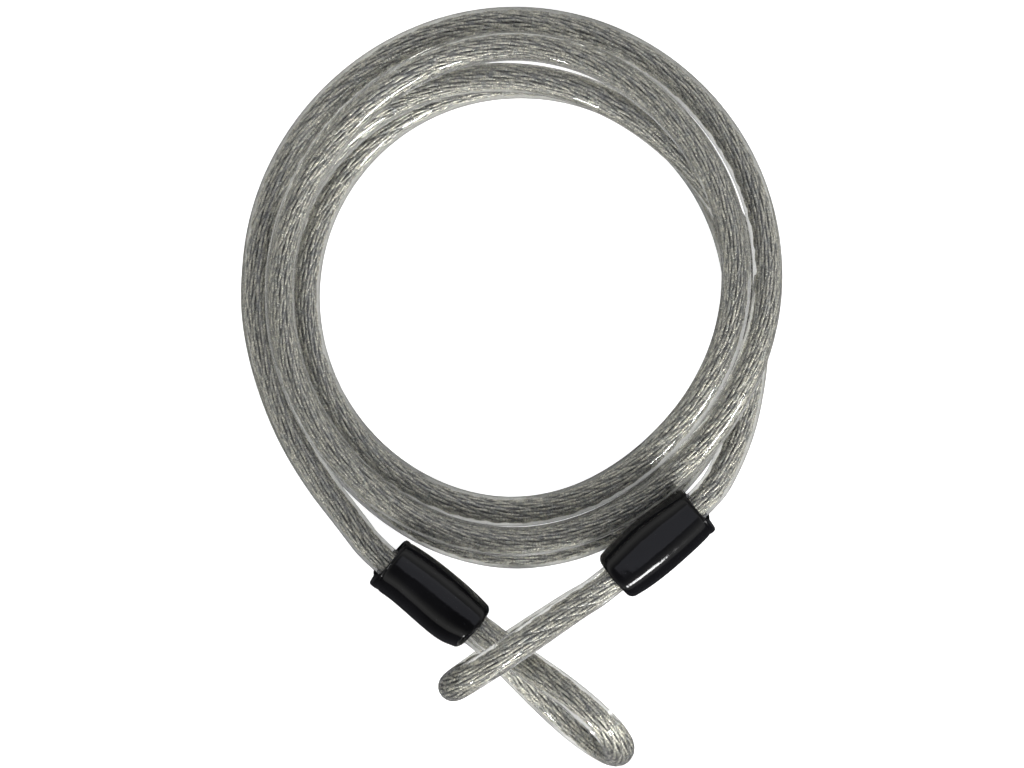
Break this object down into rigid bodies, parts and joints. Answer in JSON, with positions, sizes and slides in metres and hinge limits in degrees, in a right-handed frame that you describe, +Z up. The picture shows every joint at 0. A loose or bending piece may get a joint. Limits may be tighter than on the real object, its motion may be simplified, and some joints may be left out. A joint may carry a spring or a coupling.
{
  "type": "double-loop cable lock",
  "caption": "Coiled steel wire-rope security cable in a clear vinyl sheath, each end folded into an eye and clamped in a ferrule under a black barrel cover.",
  "frame": {"origin": "on the surface under the middle of the coiled cable and its two eyes", "axes": "+Z up from the surface that the coil lies on, +Y from the eyes towards the far side of the coil, +X to the right seen from above with the eyes at the near side"},
  "size_m": [0.2174, 0.3043, 0.0598],
  "materials": {
    "coiled_cable": "steel wire rope under clear glossy vinyl",
    "clear_sheath": "clear glossy vinyl",
    "steel_strands": "bright drawn wire, laid in strands",
    "steel_core": "drawn wire core strand",
    "ferrule_metal": "pressed, satin",
    "cover_vinyl": "glossy soft black vinyl"
  },
  "bodies": {
    "lock": {"cable_coil": "coiled_cable", "left_cover": "cover_vinyl", "left_eye_core": "steel_core", "left_eye_sheath": "clear_sheath", "left_eye_strands": "steel_strands", "left_ferrule": "ferrule_metal", "left_tail_core": "steel_core", "left_tail_sheath": "clear_sheath", "left_tail_strands": "steel_strands", "right_cover": "cover_vinyl", "right_eye_core": "steel_core", "right_eye_sheath": "clear_sheath", "right_eye_strands": "steel_strands", "right_ferrule": "ferrule_metal", "right_tail_core": "steel_core", "right_tail_sheath": "clear_sheath", "right_tail_strands": "steel_strands"}
  },
  "joints": []
}
